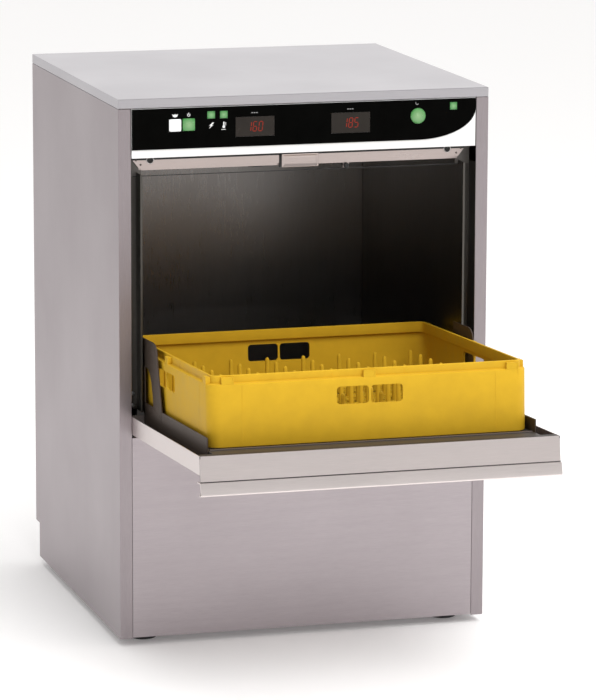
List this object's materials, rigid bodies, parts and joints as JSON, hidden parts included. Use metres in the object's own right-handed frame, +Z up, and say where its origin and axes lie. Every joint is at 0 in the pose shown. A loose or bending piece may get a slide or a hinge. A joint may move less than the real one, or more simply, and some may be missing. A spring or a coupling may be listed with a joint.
{
  "type": "undercounter commercial dishwasher",
  "caption": "Front-loading undercounter commercial dishwasher with its drop-down door open and a square plastic dish rack on the door.",
  "frame": {"origin": "on the floor, under the middle of the whole object with its door open", "axes": "+X to the right seen from the front, +Y from the door to the back panel, +Z up"},
  "size_m": [0.6, 1.0222, 0.867],
  "materials": {
    "casing": "brushed",
    "bright": "satin",
    "dark_steel": "satin",
    "fascia_white": "satin",
    "overlay_black": "gloss",
    "display": "gloss",
    "key_white": "gloss",
    "key_green": "gloss",
    "lamp": "gloss",
    "rack_yellow": "satin",
    "rubber": "matte",
    "polymer": "satin",
    "brass": "satin",
    "housing_paint": "painted"
  },
  "bodies": {
    "cabinet": {"base_tray": "casing", "foot_1": "rubber", "foot_2": "rubber", "foot_3": "rubber", "foot_4": "rubber", "side_panel_left": "casing", "side_panel_right": "casing", "back_panel": "casing", "top_panel": "casing", "lower_front_panel": "casing", "fascia_panel": "fascia_white", "fascia_overlay": "overlay_black", "display_left": "display", "display_right": "display", "lamp_left": "lamp", "lamp_middle": "lamp", "lamp_right": "lamp", "control_box": "polymer", "front_header": "bright", "bumper_left": "rubber", "bumper_right": "rubber", "door_catch": "bright", "chamber_wall_left": "dark_steel", "chamber_wall_right": "dark_steel", "chamber_wall_back": "casing", "chamber_ceiling": "casing", "wash_tank": "casing", "rack_rail_left": "casing", "rack_rail_right": "casing", "filter_tray": "bright", "overflow_standpipe": "polymer", "tank_heater": "dark_steel", "pump_volute": "polymer", "pump_motor": "housing_paint", "suction_pipe": "rubber", "spray_manifold": "polymer", "booster_heater": "bright", "inlet_valve": "brass", "drain_pump": "polymer", "cable_gland": "polymer", "hinge_block_left": "casing", "hinge_block_right": "casing", "door_spring": "bright"},
    "door": {"door_skin": "bright", "door_liner": "dark_steel", "door_handle": "bright", "guide_left": "dark_steel", "guide_right": "dark_steel", "hinge_shaft": "bright"},
    "damper": {"damper_roller": "rubber"},
    "rack": {"dish_rack": "rack_yellow"},
    "impeller": {"pump_impeller": "polymer"},
    "lower_wash": {"lower_wash_arm": "casing"},
    "lower_rinse": {"lower_rinse_arm": "bright"},
    "upper_wash": {"upper_wash_arm": "casing"},
    "upper_rinse": {"upper_rinse_arm": "bright"},
    "fill_key": {"button_fill": "key_white"},
    "power_key": {"button_power": "key_green"},
    "start_key": {"button_start": "key_green"},
    "switch_plunger": {"door_switch": "rubber"}
  },
  "joints": [
    {"name": "door_hinge", "type": "hinge", "parent": "cabinet", "child": "door", "pos_m": [0, -0.08288, 0.346], "axis": [-1, 0, 0], "range_deg": [0, 86.7], "deforming": ["door_spring"]},
    {"name": "damper_turn", "type": "hinge", "parent": "cabinet", "child": "damper", "pos_m": [0.289, -0.05197, 0.346], "axis": [-1, 0, 0], "range_deg": [0, 180.5]},
    {"name": "rack_travel", "type": "hinge", "parent": "damper", "child": "rack", "pos_m": [0, -0.24797, 0.346], "axis": [-1, 0, 0], "range_deg": [-183.8, 0]},
    {"name": "impeller_spin", "type": "hinge", "parent": "cabinet", "child": "impeller", "pos_m": [-0.19, 0.23612, 0.11], "axis": [0, 1, 0], "continuous": true},
    {"name": "lower_wash_spin", "type": "hinge", "parent": "cabinet", "child": "lower_wash", "pos_m": [0, 0.20412, 0.324], "axis": [0, 0, 1], "continuous": true},
    {"name": "lower_rinse_spin", "type": "hinge", "parent": "cabinet", "child": "lower_rinse", "pos_m": [0, 0.20412, 0.3415], "axis": [0, 0, 1], "continuous": true},
    {"name": "upper_wash_spin", "type": "hinge", "parent": "cabinet", "child": "upper_wash", "pos_m": [0, 0.20412, 0.727], "axis": [0, 0, 1], "continuous": true},
    {"name": "upper_rinse_spin", "type": "hinge", "parent": "cabinet", "child": "upper_rinse", "pos_m": [0, 0.20412, 0.7455], "axis": [0, 0, 1], "continuous": true},
    {"name": "fill_key_press", "type": "slide", "parent": "cabinet", "child": "fill_key", "axis": [0, 1, 0], "range_m": [0, 0.0015], "stiffness_N_per_m": 800, "springref_m": -0.001},
    {"name": "power_key_press", "type": "slide", "parent": "cabinet", "child": "power_key", "axis": [0, 1, 0], "range_m": [0, 0.0015], "stiffness_N_per_m": 800, "springref_m": -0.001},
    {"name": "start_key_press", "type": "slide", "parent": "cabinet", "child": "start_key", "axis": [0, 1, 0], "range_m": [0, 0.0015], "stiffness_N_per_m": 800, "springref_m": -0.001},
    {"name": "switch_press", "type": "slide", "parent": "cabinet", "child": "switch_plunger", "axis": [0, 1, 0], "range_m": [0, 0.0012], "stiffness_N_per_m": 300, "springref_m": -0.001}
  ],
  "couplings": [
    {"joint": "damper_turn", "follows": "door_hinge", "ratio": 2.0761},
    {"joint": "rack_travel", "follows": "door_hinge", "ratio": -2.1142}
  ]
}
